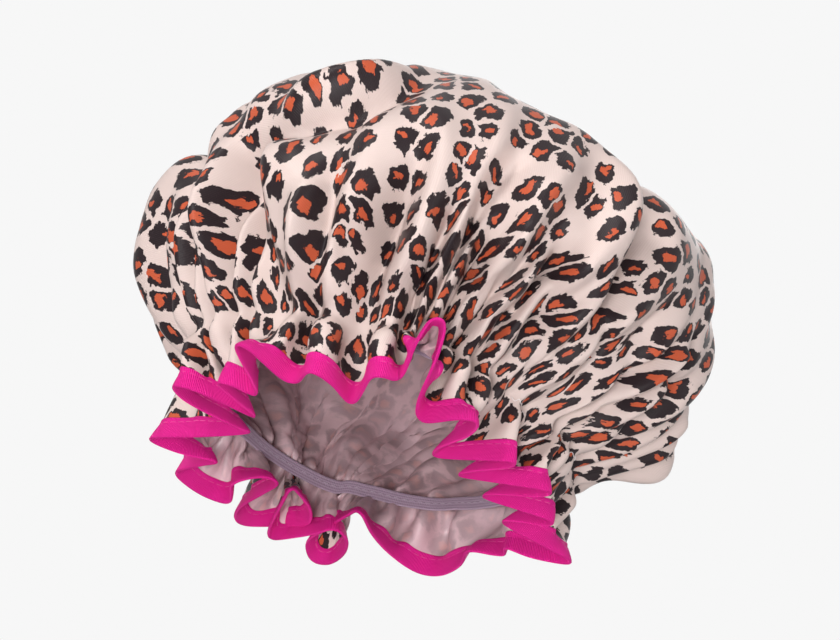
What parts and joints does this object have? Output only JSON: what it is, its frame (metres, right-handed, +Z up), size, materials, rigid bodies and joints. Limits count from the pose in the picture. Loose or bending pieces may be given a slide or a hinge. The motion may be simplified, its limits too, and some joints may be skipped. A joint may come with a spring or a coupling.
{
  "type": "shower cap",
  "caption": "Puffed elasticated shower cap: printed satin outside, waterproof film inside, and a deep ruffled brim bound with tape.",
  "frame": {"origin": "bottom centre of the cap's box, on the surface that the ruffle's bound edge stands on", "axes": "+Z up through the crown, with the opening facing down; the front of the cap looks along -Y; +X is to the right of someone who looks at the front"},
  "size_m": [0.2192, 0.2248, 0.1547],
  "materials": {
    "satin": "cream-pink satin with a leopard print in black and orange-red",
    "film": "thin milky waterproof film that lets the print show through faintly",
    "elastic": "narrow ribbed lavender-grey elastic",
    "binding": "hot pink ribbed woven tape, topstitched"
  },
  "bodies": {
    "root": {"satin_shell": "satin", "waterproof_lining": "film", "elastic_band": "elastic", "edge_binding": "binding"}
  },
  "joints": []
}
